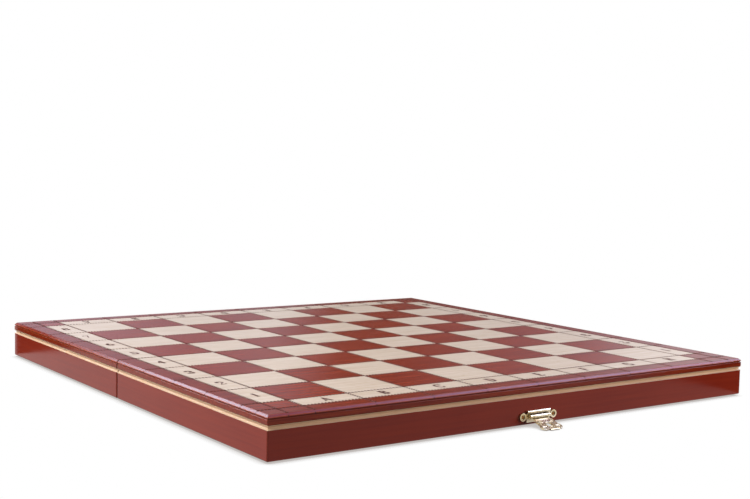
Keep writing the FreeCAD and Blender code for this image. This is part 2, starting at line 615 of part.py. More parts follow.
for label, tray, facing in (("latch_nails", "front", FORWARD), ("catch_nails", "rear", BACKWARD)):
    across, level = NAIL_PLACES[tray]
    seat = f"{TRAYS[tray][0]}({HALF_SIDE} + sizes.sheet_thickness)"
    group(label, [nail(f"{sign}{across}", seat, level, facing) for sign in ("-", "")])

# Check every object, then write one file for each piece
doc.recompute()
failed = [o.Label for o in doc.Objects if {"Invalid", "Error"} & set(o.State)]
failed += [p.Label for p in parts if p.Shape.isNull() or not p.Shape.isValid()]
if failed:
    raise ValueError(f"these objects failed: {failed}")
os.makedirs("parts", exist_ok=True)
for part in parts:
    part.Shape.exportStep(f"parts/{part.Label}.step")
    print(part.Label, len(part.Shape.Solids), round(part.Shape.Volume, 1))
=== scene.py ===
import math

import bmesh
import bpy
from mathutils import Matrix, Vector


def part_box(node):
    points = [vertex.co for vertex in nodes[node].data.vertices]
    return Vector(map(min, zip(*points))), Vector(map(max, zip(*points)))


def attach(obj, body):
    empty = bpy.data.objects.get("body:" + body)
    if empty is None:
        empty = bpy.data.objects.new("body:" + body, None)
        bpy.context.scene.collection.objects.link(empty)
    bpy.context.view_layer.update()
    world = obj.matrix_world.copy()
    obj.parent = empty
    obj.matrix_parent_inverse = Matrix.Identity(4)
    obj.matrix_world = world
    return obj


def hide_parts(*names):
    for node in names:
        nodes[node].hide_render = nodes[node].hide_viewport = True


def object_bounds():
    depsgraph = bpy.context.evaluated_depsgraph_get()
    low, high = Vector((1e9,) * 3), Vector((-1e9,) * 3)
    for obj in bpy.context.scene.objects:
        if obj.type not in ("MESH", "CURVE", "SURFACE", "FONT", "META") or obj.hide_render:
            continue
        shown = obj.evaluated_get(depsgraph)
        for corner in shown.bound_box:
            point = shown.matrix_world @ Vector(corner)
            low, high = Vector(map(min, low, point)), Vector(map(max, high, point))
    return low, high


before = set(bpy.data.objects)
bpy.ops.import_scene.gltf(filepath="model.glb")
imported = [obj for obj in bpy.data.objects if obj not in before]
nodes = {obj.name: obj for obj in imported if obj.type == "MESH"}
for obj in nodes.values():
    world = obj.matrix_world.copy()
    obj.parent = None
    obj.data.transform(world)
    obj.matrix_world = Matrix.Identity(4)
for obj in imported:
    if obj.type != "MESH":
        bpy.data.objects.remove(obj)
cad_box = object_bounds()
scene = bpy.context.scene
scene.view_settings.view_transform = "Standard"

# Camera. It stands low in front of the left corner, about as far off as someone sitting at the table,
# and its place, direction and lens come from fitting the board's corners in the 750 x 499 picture.
EYE_MM = (-647.6, -928.7, 206.05)
LOOK = Vector((0.5783, 0.8117, -0.0815))
LEVEL_RIGHT = Vector((0.8153, -0.5785, 0.0235))
FOCAL_PX = 1256.0
PICTURE_WIDTH_PX = 750
camera_data = bpy.data.cameras.new("camera")
camera_data.sensor_width = 36
camera_data.lens = FOCAL_PX / PICTURE_WIDTH_PX * camera_data.sensor_width
camera = bpy.data.objects.new("camera", camera_data)
scene.collection.objects.link(camera)
back = -LOOK.normalized()
right = (LEVEL_RIGHT - LEVEL_RIGHT.dot(back) * back).normalized()
turn = Matrix((right, back.cross(right), back)).transposed()
camera.matrix_world = Matrix.Translation(Vector(EYE_MM) / 1000) @ turn.to_4x4()
scene.camera = camera


# Table and studio. A lit white table top in a white room: the top is a clear sheet that shows only the soft
# shadow where the board stands close to it, so the half that folds below its level can still be seen.
def colour(code):
    """An sRGB hex value as linear red, green, blue and alpha."""
    shares = [int(code[i : i + 2], 16) / 255 for i in (1, 3, 5)]
    return (*[s / 12.92 if s <= 0.04045 else ((s + 0.055) / 1.055) ** 2.4 for s in shares], 1)


def add_node(tree, kind, inputs=None, stops=(), **settings):
    """Add a shader node, set its options and colour stops, then link or set its inputs."""
    made = tree.nodes.new("ShaderNode" + kind)
    for name, setting in settings.items():
        setattr(made, name, setting)
    for i, (position, code) in enumerate(stops):
        ramp = made.color_ramp.elements
        stop = ramp[i] if i < len(ramp) else ramp.new(position)
        stop.position, stop.color = position, colour(code)
    for socket, value in (inputs or {}).items():
        if isinstance(value, bpy.types.NodeSocket):
            tree.links.new(value, made.inputs[socket])
        else:
            made.inputs[socket].default_value = value
    return made


def seen_directly(tree):
    """1 for what is seen straight, in a reflection or through a clear sheet, and 0 for scattered light."""
    path = add_node(tree, "LightPath").outputs
    straight_or_mirrored = {0: path["Is Camera Ray"], 1: path["Is Glossy Ray"]}
    shiny = add_node(tree, "Math", straight_or_mirrored, operation="MAXIMUM").outputs[0]
    seen = {0: shiny, 1: path["Is Transmission Ray"]}
    return add_node(tree, "Math", seen, operation="MAXIMUM").outputs[0]


TABLE_SIZE_M, TABLE_GAP_M, SHADOW_REACH_M = 12, 0.0001, 0.009
table_level = cad_box[0].z - TABLE_GAP_M
bpy.ops.mesh.primitive_plane_add(size=TABLE_SIZE_M, location=(0, 0, table_level))
table = bpy.context.object
table.name = "table_top"
laminate = bpy.data.materials.new("lit_white_table_top")
laminate.use_nodes = True
tree = laminate.node_tree
openness = add_node(tree, "AmbientOcclusion", {"Distance": SHADOW_REACH_M}, samples=8)
shadow_stops = ((0.2, "#BFBAB7"), (0.85, "#FFFFFF"))
shadow = add_node(tree, "ValToRGB", {"Fac": openness.outputs["AO"]}, stops=shadow_stops)
clear = add_node(tree, "BsdfTransparent", {"Color": colour("#FFFFFF")})
shaded = add_node(tree, "BsdfTransparent", {"Color": shadow.outputs[0]})
top = add_node(tree, "MixShader", {0: seen_directly(tree), 1: clear.outputs[0], 2: shaded.outputs[0]})
tree.links.new(top.outputs[0], tree.nodes["Material Output"].inputs["Surface"])
tree.nodes.remove(tree.nodes["Principled BSDF"])
table.data.materials.append(laminate)

# The room is white to the eye and in reflections. As light on the board it is dim above and hardly brighter
# below, where the table throws it back.
ROOM_LEVEL, TABLE_LEVEL, HORIZON_BLUR = 0.08, 0.09, 0.05
surround = bpy.data.worlds.new("white_room")
surround.use_nodes = True
surround.cycles.sampling_method = "NONE"
scene.world = surround
tree = surround.node_tree
direction = add_node(tree, "SeparateXYZ", {0: add_node(tree, "TexCoord").outputs["Generated"]})
fill = add_node(
    tree,
    "MapRange",
    {
        "Value": direction.outputs["Z"],
        "From Min": -HORIZON_BLUR,
        "From Max": HORIZON_BLUR,
        "To Min": TABLE_LEVEL,
        "To Max": ROOM_LEVEL,
    },
)
strength = add_node(tree, "Mix", {0: seen_directly(tree), 2: fill.outputs[0], 3: 1.0}, data_type="FLOAT")
tree.links.new(strength.outputs[0], tree.nodes["Background"].inputs["Strength"])
tree.nodes["Background"].inputs["Color"].default_value = colour("#FFFFFF")

# Place and size in metres, watts and colour of each lamp, and whether it shows in reflections: those that
# don't show light the wood without glare. All of them face the board.
LAMPS = {
    "left_softbox": ((-1.45, 0.15, 1.1), (1.0, 0.8), 36, "#FFFFFF", False),
    "right_softbox": ((1.35, -0.55, 1.3), (0.9, 0.8), 18, "#DCE2FF", True),
    "back_softbox": ((-0.72, 1.72, 1.2), (0.65, 0.65), 17, "#D6E8FF", True),
    "front_softbox": ((1.3, -1.0, 0.3), (0.9, 0.4), 19, "#FFF4E8", False),
    "under_table_light": ((0, 0, -1.4), (1.2, 1.2), 12, "#FFFFFF", False),
}
for name, (place, size, watts, tint, shows) in LAMPS.items():
    lamp_data = bpy.data.lights.new(name, "AREA")
    lamp_data.shape = "RECTANGLE"
    lamp_data.size, lamp_data.size_y = size
    lamp_data.energy = watts
    lamp_data.color = colour(tint)[:3]
    lamp = bpy.data.objects.new(name, lamp_data)
    lamp.location = place
    lamp.rotation_mode = "QUATERNION"
    lamp.rotation_quaternion = (-Vector(place)).to_track_quat("-Z", "Y")
    lamp.visible_glossy = shows
    scene.collection.objects.link(lamp)

# Cards stand round the board and show only in reflections. A grey one behind it keeps the room's glare off
# the top, dark ones give the gloss of the two near sides an end, and a lit blue one high up at the front
# right draws the cold line along the front bevel. Each has its middle and size in metres, its heading in
# degrees, the places and colours of its shades from one end to the other, and its strength.
DARK_SHADES = ((0.0, "#2A2422"), (1.0, "#2A2422"))
CARDS = {
    "grey_card": (
        (0.75, 0.95, 0.36),
        (2.3, 0.56),
        0,
        (
            (0.2, "#C0C0D4"),
            (0.31, "#8E8E9C"),
            (0.38, "#A0A2AE"),
            (0.44, "#544C48"),
            (0.49, "#4A433F"),
            (0.7, "#8A8894"),
            (0.84, "#DEDCE6"),
        ),
        1,
    ),
    "left_dark_card": ((-0.44, 0.24, 0.035), (0.4, 0.07), 0, DARK_SHADES, 1),
    "right_dark_card": ((0.24, -0.44, 0.02), (0.4, 0.04), 90, DARK_SHADES, 1),
    "lit_blue_card": (
        (0.85, -0.47, 0.95),
        (1.2, 0.7),
        0,
        ((0.1, "#5A74A8"), (0.4, "#98A8DC"), (0.65, "#BACCFA"), (0.95, "#ACACD0")),
        16,
    ),
}
for name, (middle, size, heading, shades, glow_strength) in CARDS.items():
    upright = (math.pi / 2, 0, math.radians(heading))
    bpy.ops.mesh.primitive_plane_add(size=1, location=middle, rotation=upright)
    card = bpy.context.object
    card.name = name
    card.scale = (*size, 1)
    card.visible_camera = False
    card.visible_shadow = False
    card.visible_diffuse = False
    paper = bpy.data.materials.new(f"matt_{name}")
    paper.use_nodes = True
    tree = paper.node_tree
    along = add_node(tree, "SeparateXYZ", {0: add_node(tree, "TexCoord").outputs["Generated"]}).outputs["X"]
    shade = add_node(tree, "ValToRGB", {"Fac": along}, stops=shades)
    glow = add_node(tree, "Emission", {"Color": shade.outputs[0], "Strength": glow_strength})
    tree.links.new(glow.outputs[0], tree.nodes["Material Output"].inputs["Surface"])
    tree.nodes.remove(tree.nodes["Principled BSDF"])
    card.data.materials.append(paper)


# Walls. Mitred rails of beech round each half, stained mahogany red and sprayed with lacquer, a little thin
# on the arrises. Beech is plain and close: faint streaks along the rail and short flecks about 0.5 mm wide.
def start_finish(name):
    """A new material, its nodes, its shader and the place on the board in metres."""
    finish = bpy.data.materials.new(name)
    finish.use_nodes = True
    tree = finish.node_tree
    return finish, tree, tree.nodes["Principled BSDF"], add_node(tree, "TexCoord").outputs["Object"]


def grain(tree, place, along, width_mm, length_mm, detail, distortion=0.0):
    """Marks of a width and length that lie along the wood, with 0 for the X axis and 1 for Y."""
    scale = [1000 / width_mm] * 3
    scale[along] = 1000 / length_mm
    drawn_out = add_node(tree, "Mapping", {"Vector": place, "Scale": scale}).outputs[0]
    marks = {"Vector": drawn_out, "Scale": 1.0, "Detail": detail, "Distortion": distortion}
    return add_node(tree, "TexNoise", marks).outputs[0]


def rub_arrises(tree, base, radius_mm, bare):
    """Soften the edges of a piece and mix in the colour of bare wood where they have lost their stain."""
    flattest, sharpest, bare_share = 0.99, 0.85, 0.35
    soft = add_node(tree, "Bevel", {"Radius": radius_mm / 1000}, samples=4).outputs[0]
    flat = add_node(tree, "NewGeometry").outputs["Normal"]
    flatness = add_node(tree, "VectorMath", {0: soft, 1: flat}, operation="DOT_PRODUCT").outputs["Value"]
    wear = {"Value": flatness, "From Min": flattest, "From Max": sharpest, "To Max": bare_share}
    lighter_edge_share = add_node(tree, "MapRange", wear).outputs[0]
    worn = add_node(tree, "Mix", {0: lighter_edge_share, 6: base, 7: colour(bare)}, data_type="RGBA").outputs[2]
    return worn, soft


def stained_beech(name, along):
    wood, tree, shader, place = start_finish(name)
    streaks = grain(tree, place, along, width_mm=2.2, length_mm=70, detail=3.0, distortion=0.4)
    flecks = grain(tree, place, along, width_mm=0.5, length_mm=5, detail=2.0)
    cloud_mm = 60
    clouds = add_node(tree, "TexNoise", {"Vector": place, "Scale": 1000 / cloud_mm, "Detail": 2.0})
    stain = add_node(tree, "ValToRGB", {"Fac": streaks}, stops=((0.3, "#7D2517"), (0.72, "#862B1A")))
    darkest_flecks = {"Value": flecks, "From Min": 0.56, "From Max": 0.72, "To Max": 0.15}
    fleck_share = add_node(tree, "MapRange", darkest_flecks).outputs[0]
    fleck_tones = {0: fleck_share, 6: stain.outputs[0], 7: colour("#5A180C")}
    flecked = add_node(tree, "Mix", fleck_tones, data_type="RGBA").outputs[2]
    brightest_clouds = {"Value": clouds.outputs[0], "From Min": 0.35, "From Max": 0.7, "To Max": 0.25}
    cloud_share = add_node(tree, "MapRange", brightest_clouds).outputs[0]
    cloud_tones = {0: cloud_share, 6: flecked, 7: colour("#943521")}
    clouded = add_node(tree, "Mix", cloud_tones, data_type="RGBA").outputs[2]
    arris_mm, grain_depth_mm = 0.6, 0.02
    worn, soft_edge = rub_arrises(tree, clouded, arris_mm, "#A8603F")
    tree.links.new(worn, shader.inputs["Base Color"])
    relief = {"Height": streaks, "Distance": grain_depth_mm / 1000, "Strength": 0.5, "Normal": soft_edge}
    tree.links.new(add_node(tree, "Bump", relief).outputs[0], shader.inputs["Normal"])
    gloss = {"Value": streaks, "From Min": 0.3, "From Max": 0.7, "To Min": 0.16, "To Max": 0.22}
    tree.links.new(add_node(tree, "MapRange", gloss).outputs[0], shader.inputs["Roughness"])
    shader.inputs["IOR"].default_value = 1.45
    shader.inputs["Specular IOR Level"].default_value = 0.2
    return wood


def dress(node, material):
    """Give a whole CAD node one material."""
    node.data.materials.clear()
    node.data.materials.append(material)


TRAYS = ("front", "rear")
beech_along_x = stained_beech("mahogany_stained_beech_along_x", 0)
beech_along_y = stained_beech("mahogany_stained_beech_along_y", 1)
for tray in TRAYS:
    for side in ("end", "fold"):
        dress(nodes[f"{tray}_{side}_wall"], beech_along_x)
    for side in ("left", "right"):
        dress(nodes[f"{tray}_{side}_wall"], beech_along_y)


# Strips. Rails of natural lime wood under the panel, left unstained, with a cove run along the outer face.
# The wood is cream and nearly without figure, with hair lines along it, drawn coarse enough to show, and
# painted darker in the cove's hollow, as painted shade.
def natural_lime(name, along):
    wood, tree, shader, place = start_finish(name)
    lines = grain(tree, place, along, width_mm=0.6, length_mm=60, detail=4.0)
    tone = add_node(tree, "ValToRGB", {"Fac": lines}, stops=((0.3, "#CFAA88"), (0.7, "#DDBB9A"))).outputs[0]
    # Painted shade: the hollow of the cove is darkened by ambient occlusion
    cove_mm, cove_shade_share = 3, 0.55
    openness = add_node(tree, "AmbientOcclusion", {"Distance": cove_mm / 1000}, samples=4).outputs["AO"]
    hollow_shade_range = {"Value": openness, "From Min": 0.6, "From Max": 0.25, "To Max": cove_shade_share}
    cove_shade = add_node(tree, "MapRange", hollow_shade_range).outputs[0]
    tone_with_painted_shade = add_node(tree, "Mix", {0: cove_shade, 6: tone, 7: colour("#A27A5C")}, data_type="RGBA").outputs[2]
    tree.links.new(tone_with_painted_shade, shader.inputs["Base Color"])
    line_depth_mm = 0.02
    relief = {"Height": lines, "Distance": line_depth_mm / 1000, "Strength": 0.5}
    tree.links.new(add_node(tree, "Bump", relief).outputs[0], shader.inputs["Normal"])
    shader.inputs["Roughness"].default_value = 0.4
    shader.inputs["IOR"].default_value = 1.5
    return wood


lime_along_x = natural_lime("natural_lime_along_x", 0)
lime_along_y = natural_lime("natural_lime_along_y", 1)
for tray in TRAYS:
    for side in ("end", "fold"):
        dress(nodes[f"{tray}_{side}_strip"], lime_along_x)
    for side in ("left", "right"):
        dress(nodes[f"{tray}_{side}_strip"], lime_along_y)

# Panels. Birch-faced boards whose dark squares, corners and border are stained through a stencil, then
# scored along every line by a hot toothed wheel that leaves scorched dashes, and lacquered.
SQUARE_MM = 50
HALF_FIELD_MM = 200
BAND_EDGE_MM = 221
# The face takes in the scored lines, which are 0.5 mm deep
FACE_DEPTH_MM = 0.7
PANEL_TOP_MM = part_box("front_top_panel")[1].z * 1000
panel_wood, tree, shader, place = start_finish("stencilled_birch_veneer")
in_mm = add_node(tree, "VectorMath", {0: place, "Scale": 1000}, operation="SCALE")
x, y, z = add_node(tree, "SeparateXYZ", {0: in_mm.outputs[0]}).outputs
face = add_node(tree, "Math", {0: z, 1: PANEL_TOP_MM - FACE_DEPTH_MM}, operation="GREATER_THAN").outputs[0]

# Squares, pale band and dark corners, from the place on the board
steps = []
for across in (x, y):
    square = add_node(tree, "Math", {0: across, 1: SQUARE_MM}, operation="DIVIDE")
    steps.append(add_node(tree, "Math", {0: square.outputs[0]}, operation="FLOOR").outputs[0])
both = add_node(tree, "Math", {0: steps[0], 1: steps[1]}, operation="ADD")
odd = add_node(tree, "Math", {0: both.outputs[0], 1: 2}, operation="FLOORED_MODULO")
off_x = add_node(tree, "Math", {0: x}, operation="ABSOLUTE").outputs[0]
off_y = add_node(tree, "Math", {0: y}, operation="ABSOLUTE").outputs[0]
outer = add_node(tree, "Math", {0: off_x, 1: off_y}, operation="MAXIMUM").outputs[0]
inner = add_node(tree, "Math", {0: off_x, 1: off_y}, operation="MINIMUM").outputs[0]
in_field = add_node(tree, "Math", {0: outer, 1: HALF_FIELD_MM}, operation="LESS_THAN").outputs[0]
in_band = add_node(tree, "Math", {0: outer, 1: BAND_EDGE_MM}, operation="LESS_THAN").outputs[0]
off_corner = add_node(tree, "Math", {0: inner, 1: HALF_FIELD_MM}, operation="LESS_THAN").outputs[0]
band = add_node(tree, "Math", {0: in_band, 1: off_corner}, operation="MULTIPLY").outputs[0]
pale_plan = add_node(tree, "Mix", {0: in_field, 2: band, 3: odd.outputs[0]}, data_type="FLOAT").outputs[0]
pale = add_node(tree, "Math", {0: pale_plan, 1: face}, operation="MULTIPLY").outputs[0]

# The veneer's grain runs along the ranks, in streaks and pores. Birch's own pores are finer than 0.1 mm,
# and both are drawn coarse enough to show.
streaks = grain(tree, place, 0, width_mm=2.4, length_mm=60, detail=6.0, distortion=0.5)
pores = grain(tree, place, 0, width_mm=1, length_mm=7, detail=2.0)
darkest_pores = {"Value": pores, "From Min": 0.56, "From Max": 0.72, "To Max": 0.5}
pore_share = add_node(tree, "MapRange", darkest_pores).outputs[0]
birch = add_node(tree, "ValToRGB", {"Fac": streaks}, stops=((0.3, "#DCC4AA"), (0.7, "#EAD7C4")))
stain = add_node(tree, "ValToRGB", {"Fac": streaks}, stops=((0.3, "#741F0F"), (0.72, "#A13C1B")))
birch_tones = {0: pore_share, 6: birch.outputs[0], 7: colour("#CBAB88")}
birch_pores = add_node(tree, "Mix", birch_tones, data_type="RGBA").outputs[2]
stain_tones = {0: pore_share, 6: stain.outputs[0], 7: colour("#55160B")}
stain_pores = add_node(tree, "Mix", stain_tones, data_type="RGBA").outputs[2]
veneer = add_node(tree, "Mix", {0: pale, 6: stain_pores, 7: birch_pores}, data_type="RGBA").outputs[2]


def lies_between(tree, value, low, high):
    """1 where a value lies between two limits, and 0 elsewhere."""
    over = add_node(tree, "Math", {0: value, 1: low}, operation="GREATER_THAN").outputs[0]
    under = add_node(tree, "Math", {0: value, 1: high}, operation="LESS_THAN").outputs[0]
    return add_node(tree, "Math", {0: over, 1: under}, operation="MULTIPLY").outputs[0]


# The border took more stain than the squares and the cut edge soaks up more still; the groove under the
# bevel is painted darker, as painted shade
BORDER_SHARE, EDGE_SHARE, GROOVE_SHADE_SHARE = 0.25, 0.3, 0.9
EDGE_BELOW_MM, GROOVE_BELOW_MM, GROOVE_FOOT_MM = 0.15, 2.2, 3.1
below_top = add_node(tree, "Math", {0: PANEL_TOP_MM, 1: z}, operation="SUBTRACT").outputs[0]
edge = add_node(tree, "Math", {0: below_top, 1: EDGE_BELOW_MM}, operation="GREATER_THAN").outputs[0]
groove = lies_between(tree, below_top, GROOVE_BELOW_MM, GROOVE_FOOT_MM)
border_soak = add_node(tree, "Mix", {0: in_band, 2: BORDER_SHARE, 3: 0.0}, data_type="FLOAT").outputs[0]
edge_soak = add_node(tree, "Mix", {0: edge, 2: border_soak, 3: EDGE_SHARE}, data_type="FLOAT").outputs[0]
stain_and_groove_shade = add_node(tree, "Mix", {0: groove, 2: edge_soak, 3: GROOVE_SHADE_SHARE}, data_type="FLOAT").outputs[0]
veneer = add_node(tree, "Mix", {0: stain_and_groove_shade, 6: veneer, 7: colour("#561404")}, data_type="RGBA").outputs[2]

# Painted highlight: a lighter orange brown band along the bevel's lower arris, just over the groove, where
# the arris catches the light
HIGHLIGHT_BELOW_MM, HIGHLIGHT_SHARE = 1.3, 0.45
arris_highlight_band = lies_between(tree, below_top, HIGHLIGHT_BELOW_MM, GROOVE_BELOW_MM)
lighter_edge_share = add_node(tree, "Math", {0: arris_highlight_band, 1: HIGHLIGHT_SHARE}, operation="MULTIPLY").outputs[0]
veneer = add_node(tree, "Mix", {0: lighter_edge_share, 6: veneer, 7: colour("#B4481A")}, data_type="RGBA").outputs[2]

# Scorched lines: each tooth leaves a dash about 3.5 mm wide, joined to the next by a narrower burn.
# The wheel runs out over the bevel, where the line narrows to nothing.
MEAN_HALF_WIDTH_MM, TOOTH_SWELL_MM, SCORCH_FADE_MM = 1.0, 0.75, 0.2
TOOTH_PITCH_MM = 2.8
RUN_OUT = 0.6
burns = []
for across, off, along in ((x, off_x, y), (y, off_y, x)):
    to_grid = add_node(tree, "Math", {0: across, 1: SQUARE_MM / 2}, operation="PINGPONG").outputs[0]
    past_band = add_node(tree, "Math", {0: off, 1: BAND_EDGE_MM}, operation="SUBTRACT").outputs[0]
    to_band = add_node(tree, "Math", {0: past_band}, operation="ABSOLUTE").outputs[0]
    to_line = add_node(tree, "Math", {0: to_grid, 1: to_band}, operation="MINIMUM").outputs[0]
    run_out = {0: below_top, 1: RUN_OUT, 2: to_line}
    distance = add_node(tree, "Math", run_out, operation="MULTIPLY_ADD").outputs[0]
    wave = add_node(tree, "Math", {0: along, 1: 2 * math.pi / TOOTH_PITCH_MM}, operation="MULTIPLY")
    teeth = add_node(tree, "Math", {0: wave.outputs[0]}, operation="SINE").outputs[0]
    swell = {0: teeth, 1: -TOOTH_SWELL_MM, 2: distance}
    swollen = add_node(tree, "Math", swell, operation="MULTIPLY_ADD")
    core = add_node(
        tree,
        "MapRange",
        {
            "Value": swollen.outputs[0],
            "From Min": MEAN_HALF_WIDTH_MM + SCORCH_FADE_MM,
            "From Max": MEAN_HALF_WIDTH_MM - SCORCH_FADE_MM,
        },
        interpolation_type="SMOOTHSTEP",
    )
    burns.append(core.outputs[0])
burn = add_node(tree, "Math", {0: burns[0], 1: burns[1]}, operation="MAXIMUM").outputs[0]
arris_mm, grain_depth_mm = 1.0, 0.02
worn, soft_edge = rub_arrises(tree, veneer, arris_mm, "#B4552C")
scorched = add_node(tree, "Mix", {0: burn, 6: worn, 7: colour("#38150D")}, data_type="RGBA").outputs[2]
tree.links.new(scorched, shader.inputs["Base Color"])
BURN_IN_GRAIN_DEPTHS, BURNT_ROUGHNESS = -6, 0.85
grain_height = add_node(tree, "Math", {0: streaks, 1: face}, operation="MULTIPLY").outputs[0]
sunk = {0: burn, 1: BURN_IN_GRAIN_DEPTHS, 2: grain_height}
height = add_node(tree, "Math", sunk, operation="MULTIPLY_ADD").outputs[0]
relief = {"Height": height, "Distance": grain_depth_mm / 1000, "Strength": 0.3, "Normal": soft_edge}
tree.links.new(add_node(tree, "Bump", relief).outputs[0], shader.inputs["Normal"])
gloss = {"Value": streaks, "From Min": 0.3, "From Max": 0.7, "To Min": 0.17, "To Max": 0.23}
lacquer = add_node(tree, "MapRange", gloss).outputs[0]
dulled = add_node(tree, "Mix", {0: burn, 2: lacquer, 3: BURNT_ROUGHNESS}, data_type="FLOAT")
tree.links.new(dulled.outputs[0], shader.inputs["Roughness"])
shader.inputs["IOR"].default_value = 1.4
shader.inputs["Specular IOR Level"].default_value = 0.25
for tray in TRAYS:
    dress(nodes[f"{tray}_top_panel"], panel_wood)

# Coordinates. Letters and numerals burnt into the pale band with a hot stamp, in a narrow roman cut with
# heavy stems, hair lines and serifs. Those at the front and on the left stand upright to the front player,
# and the others to the player opposite.
GLYPH_HEIGHT_MM, GLYPH_WIDTH_SHARE = 10.6, 0.72
HEAVY, HAIR = 2.9, 1.45
LIFT_MM = 0.03
# Five numbers are a straight stroke from one place to another and its width, on a body 10 high; six are an
# arc's centre, radii and angles, which swells from a hair line at top and foot to heavy at the sides
STEM = (1.9, 0, 1.9, 10, HEAVY)
LEFT_SERIFS = ((0.3, 0.3, 3.6, 0.3, HAIR), (0.3, 9.7, 3.6, 9.7, HAIR))
GLYPHS = {
    "A": (
        (0.9, 0, 4.2, 10, HAIR),
        (4.0, 10, 7.4, 0, HEAVY),
        (2.1, 3.3, 6.2, 3.3, HAIR),
        (-0.2, 0.3, 2.1, 0.3, HAIR),
        (5.8, 0.3, 8.8, 0.3, HAIR),
    ),
    "B": (
        STEM,
        *LEFT_SERIFS,
        (3.4, 7.5, 2.9, 2.2, -90, 90),
        (3.4, 2.8, 3.5, 2.5, -90, 90),
        (1.9, 5.3, 3.6, 5.3, HAIR),
    ),
    "C": ((4.6, 5, 4.0, 4.7, 45, 315), (7.0, 7.9, 0.4, 0.4, 0, 360), (7.3, 1.8, 7.9, 3.0, HAIR)),
    "D": (STEM, *LEFT_SERIFS, (3.4, 5, 4.4, 4.7, -90, 90)),
    "E": (
        STEM,
        (0.3, 0.3, 7.2, 0.3, HAIR),
        (0.3, 9.7, 7.0, 9.7, HAIR),
        (1.9, 5, 5.2, 5, HAIR),
        (7.0, 0.2, 7.4, 2.7, HAIR),
        (6.7, 9.8, 7.1, 7.5, HAIR),
        (5.2, 3.9, 5.2, 6.1, HAIR),
    ),
    "F": (
        STEM,
        (0.3, 0.3, 3.8, 0.3, HAIR),
        (0.3, 9.7, 7.0, 9.7, HAIR),
        (1.9, 5, 5.2, 5, HAIR),
        (6.7, 9.8, 7.1, 7.5, HAIR),
        (5.2, 3.9, 5.2, 6.1, HAIR),
    ),
    "G": (
        (4.6, 5, 4.0, 4.7, 45, 325),
        (7.0, 7.9, 0.4, 0.4, 0, 360),
        (7.6, 0.8, 7.6, 4.3, HEAVY),
        (6.0, 4.3, 9.0, 4.3, HAIR),
    ),
    "H": (
        STEM,
        *LEFT_SERIFS,
        (7.3, 0, 7.3, 10, HEAVY),
        (1.9, 5.1, 7.3, 5.1, HAIR),
        (5.6, 0.3, 9.0, 0.3, HAIR),
        (5.6, 9.7, 9.0, 9.7, HAIR),
    ),
    "1": ((4, 0, 4, 10, HEAVY), (2.2, 0.3, 5.8, 0.3, HAIR), (2.2, 8.3, 4, 9.6, HAIR)),
    "2": (
        (3.9, 7.2, 2.9, 2.6, -30, 170),
        (6.4, 6.0, 1.3, 0.6, 1.0),
        (1.1, 0.6, 7.0, 0.6, 1.2),
        (7.0, 0.4, 7.3, 2.4, HAIR),
        (1.6, 7.4, 0.4, 0.4, 0, 360),
    ),
    "3": (
        (3.8, 7.4, 2.7, 2.3, -90, 150),
        (3.8, 2.7, 3.1, 2.4, -150, 90),
        (1.7, 8.2, 0.4, 0.4, 0, 360),
        (1.5, 1.8, 0.4, 0.4, 0, 360),
    ),
    "4": (
        (5.5, 0, 5.5, 10, HEAVY),
        (5.2, 9.8, 0.8, 3.0, HAIR),
        (0.6, 2.9, 7.6, 2.9, HAIR),
        (4.0, 0.3, 7.0, 0.3, HAIR),
    ),
    "5": (
        (1.7, 9.4, 6.6, 9.4, 1.2),
        (1.9, 9.6, 1.7, 5.2, HAIR),
        (3.8, 3.3, 3.2, 3.0, -150, 135),
        (1.4, 1.9, 0.4, 0.4, 0, 360),
    ),
    "6": ((4.2, 3.2, 3.0, 2.9, 0, 360), (6.2, 4.2, 5.0, 5.5, 92, 190)),
    "7": ((1.0, 9.3, 7.2, 9.3, 1.3), (7.0, 9.4, 3.4, 0, 1.5), (1.0, 9.6, 0.9, 7.2, HAIR)),
    "8": ((4, 7.5, 2.5, 2.2, 0, 360), (4, 2.7, 3.1, 2.5, 0, 360)),
}
GLYPH_BODY = 10
GLYPH_MIDDLE = Vector((4.3, 5))
ARC_STEPS = 24


def stroke_sides(stroke):
    """The two sides of a stroke, as points on the glyph's body."""
    if len(stroke) == 5:
        start, stop, width = Vector(stroke[0:2]), Vector(stroke[2:4]), stroke[4]
        along = (stop - start).normalized()
        side = Vector((-along.y, along.x)) * (width / 2)
        return [start + side, stop + side], [start - side, stop - side]
    centre, radii = Vector(stroke[0:2]), stroke[2:4]
    one_side, other_side = [], []
    for step in range(ARC_STEPS + 1):
        angle = math.radians(stroke[4] + (stroke[5] - stroke[4]) * step / ARC_STEPS)
        way = Vector((math.cos(angle), math.sin(angle)))
        half = (HAIR + (HEAVY - HAIR) * abs(way.x)) / 2
        one_side.append(centre + Vector((way.x * (radii[0] + half), way.y * (radii[1] + half))))
        inward = [max(r - half, 0) for r in radii]
        other_side.append(centre + Vector((way.x * inward[0], way.y * inward[1])))
    return one_side, other_side


def stamp(mesh, glyph, middle_mm, turned):
    """Add a glyph's strokes to a mesh, centred on a place on the board."""
    level = (PANEL_TOP_MM + LIFT_MM) / 1000
    for stroke in GLYPHS[glyph]:
        rows = []
        for side in stroke_sides(stroke):
            row = []
            for point in side:
                off_middle = (point - GLYPH_MIDDLE) * (GLYPH_HEIGHT_MM / GLYPH_BODY)
                place = Vector((off_middle.x * GLYPH_WIDTH_SHARE, off_middle.y))
                place = Vector(middle_mm) + (-place if turned else place)
                row.append(mesh.verts.new((place.x / 1000, place.y / 1000, level)))
            rows.append(row)
        for i in range(len(rows[0]) - 1):
            mesh.faces.new((rows[0][i], rows[1][i], rows[1][i + 1], rows[0][i + 1]))


